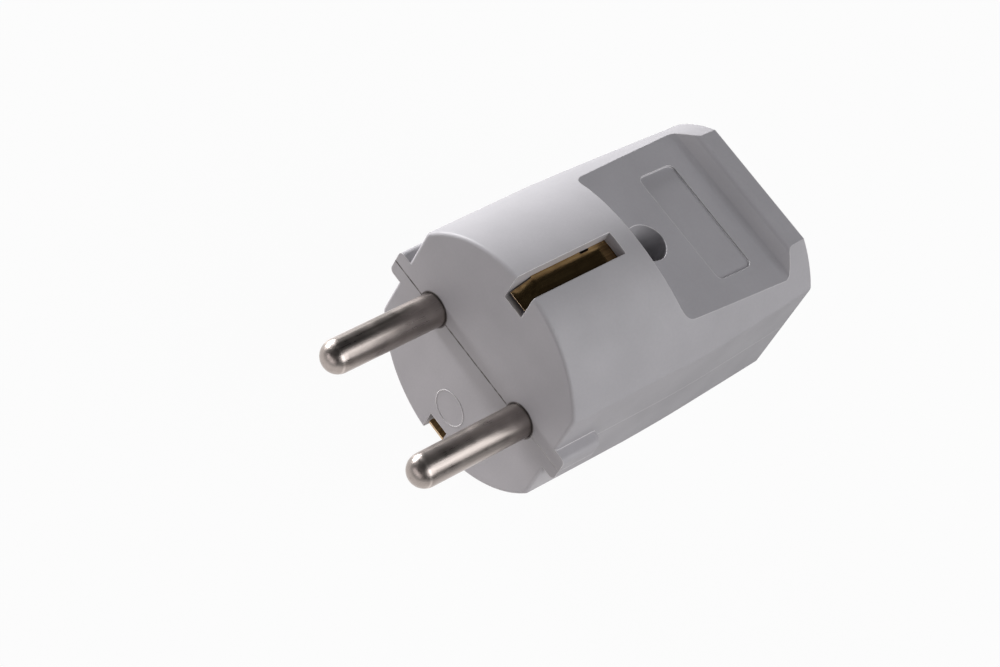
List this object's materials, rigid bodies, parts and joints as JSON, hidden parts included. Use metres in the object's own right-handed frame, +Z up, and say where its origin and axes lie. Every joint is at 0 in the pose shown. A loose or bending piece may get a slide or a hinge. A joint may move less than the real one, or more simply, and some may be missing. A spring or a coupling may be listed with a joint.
{
  "type": "schuko plug",
  "caption": "Grey rewirable earthed mains plug with round contact pins, a slotted round front with side guide ribs, finger grips and a recessed closing screw",
  "frame": {"origin": "the centre of the front face, midway between the two contact pins on the seam between the shells", "axes": "+Y runs backwards from the front face to the cord entry along the plug's length, the pins point to -Y and stand side by side along X, and +Z points up through the shell with the closing screw"},
  "size_m": [0.0362, 0.0648, 0.0368],
  "materials": {
    "shell_plastic": "satin moulded, light grey",
    "clamp_plastic": "satin moulded, light grey",
    "pin_nickel": "satin nickel plate on brass",
    "strap_brass": "rolled sheet",
    "screw_steel": "zinc plated",
    "washer_fibre": "pressed fibre"
  },
  "bodies": {
    "root": {"upper_shell": "shell_plastic", "lower_shell": "shell_plastic", "left_pin": "pin_nickel", "right_pin": "pin_nickel", "left_terminal_screw": "screw_steel", "right_terminal_screw": "screw_steel", "left_wire_plate": "strap_brass", "right_wire_plate": "strap_brass", "earth_strap": "strap_brass", "earth_terminal": "strap_brass", "earth_screw": "screw_steel", "earth_wire_plate": "strap_brass", "cord_clamp": "clamp_plastic", "left_clamp_screw": "screw_steel", "right_clamp_screw": "screw_steel", "closing_screw": "screw_steel", "closing_washer": "washer_fibre", "closing_nut": "screw_steel"}
  },
  "joints": []
}
